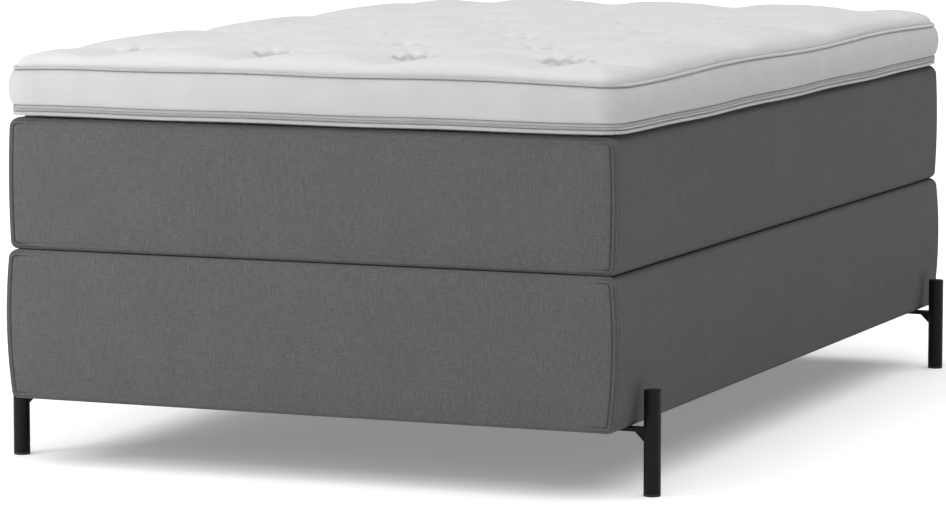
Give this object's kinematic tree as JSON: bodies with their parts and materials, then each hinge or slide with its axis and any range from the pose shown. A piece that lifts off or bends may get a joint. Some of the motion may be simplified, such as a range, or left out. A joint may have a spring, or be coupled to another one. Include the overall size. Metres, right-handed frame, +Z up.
{
  "type": "box spring bed",
  "caption": "Box spring bed: an upholstered sprung base on round tube legs, a loose pocket-spring mattress and a tufted topper with a zip-off cover.",
  "frame": {"origin": "on the floor, under the middle of the bed's bounding box", "axes": "+X across the bed, +Y along the bed towards the head end, +Z up; the pictured end is the foot end at -Y and the pictured long side is at +X"},
  "size_m": [1.2922, 2.0084, 0.7715],
  "materials": {
    "grey_fabric": "woven mid-grey melange upholstery cloth, matt",
    "topper_cloth": "soft white knitted ticking, matt",
    "border_cloth": "smooth light grey-white knitted border cloth, matt",
    "piping_cloth": "light grey woven piping with a dark stitch line, matt",
    "zip_tape": "grey zip tape with a coil chain, matt",
    "zip_metal": "satin zip metal",
    "white_foam": "open-cell foam, matt",
    "blue_foam": "open-cell comfort foam, matt",
    "felt": "pressed fibre felt, matt",
    "pocket_cloth": "white non-woven pockets round steel coils, matt",
    "pine": "planed untreated pine, matt",
    "dust_cloth": "thin black non-woven cloth, matt",
    "black_steel": "black powder coat, satin",
    "black_plastic": "black moulded plastic, matt",
    "zinc_steel": "bright zinc-plated steel"
  },
  "bodies": {
    "base": {"base_cover_wrap": "grey_fabric", "base_end_panel_head": "grey_fabric", "base_end_panel_foot": "grey_fabric", "base_foam_padding": "white_foam", "base_pocket_springs": "pocket_cloth", "base_spring_felt": "felt", "side_rail_left": "pine", "side_rail_right": "pine", "end_rail_foot": "pine", "end_rail_head": "pine", "corner_block_foot_left": "pine", "corner_block_foot_right": "pine", "corner_block_head_left": "pine", "corner_block_head_right": "pine", "leg_board_foot": "pine", "leg_board_head": "pine", "slat_1": "pine", "slat_2": "pine", "slat_3": "pine", "slat_4": "pine", "slat_5": "pine", "dust_cover": "dust_cloth", "leg_tube_foot_left": "black_steel", "leg_tube_foot_right": "black_steel", "leg_tube_head_left": "black_steel", "leg_tube_head_right": "black_steel", "leg_bracket_foot_left": "black_steel", "leg_bracket_foot_right": "black_steel", "leg_bracket_head_left": "black_steel", "leg_bracket_head_right": "black_steel", "leg_glide_foot_left": "black_plastic", "leg_glide_foot_right": "black_plastic", "leg_glide_head_left": "black_plastic", "leg_glide_head_right": "black_plastic", "leg_bolt_foot_left_1": "zinc_steel", "leg_bolt_foot_left_2": "zinc_steel", "leg_bolt_foot_right_1": "zinc_steel", "leg_bolt_foot_right_2": "zinc_steel", "leg_bolt_head_left_1": "zinc_steel", "leg_bolt_head_left_2": "zinc_steel", "leg_bolt_head_right_1": "zinc_steel", "leg_bolt_head_right_2": "zinc_steel"},
    "mattress": {"mattress_cover_wrap": "grey_fabric", "mattress_end_panel_head": "grey_fabric", "mattress_end_panel_foot": "grey_fabric", "mattress_top_foam": "blue_foam", "mattress_bottom_foam": "blue_foam", "mattress_edge_foam": "white_foam", "mattress_spring_felt": "felt", "mattress_pocket_springs": "pocket_cloth"},
    "topper": {"topper_top_quilt": "topper_cloth", "topper_upper_piping": "piping_cloth", "topper_border": "border_cloth", "topper_zip_flap": "border_cloth", "topper_zip_chain": "zip_tape", "topper_lower_piping": "piping_cloth", "topper_bottom_panel": "topper_cloth", "topper_foam_core": "white_foam"},
    "slider": {"zip_slider": "zip_metal"},
    "pull": {"zip_pull": "zip_metal"}
  },
  "joints": [
    {"name": "mattress_lift", "type": "slide", "parent": "base", "child": "mattress", "axis": [0, 0, 1], "range_m": [0, 0.35]},
    {"name": "topper_lift", "type": "slide", "parent": "mattress", "child": "topper", "axis": [0, 0, 1], "range_m": [0, 0.3]},
    {"name": "zip_slider_run", "type": "slide", "parent": "topper", "child": "slider", "axis": [-1, 0, 0], "range_m": [0, 1]},
    {"name": "zip_pull_swing", "type": "hinge", "parent": "slider", "child": "pull", "pos_m": [0.5, 1.0007, 0.6596], "axis": [0, 0, 1], "range_deg": [0, 170]}
  ]
}
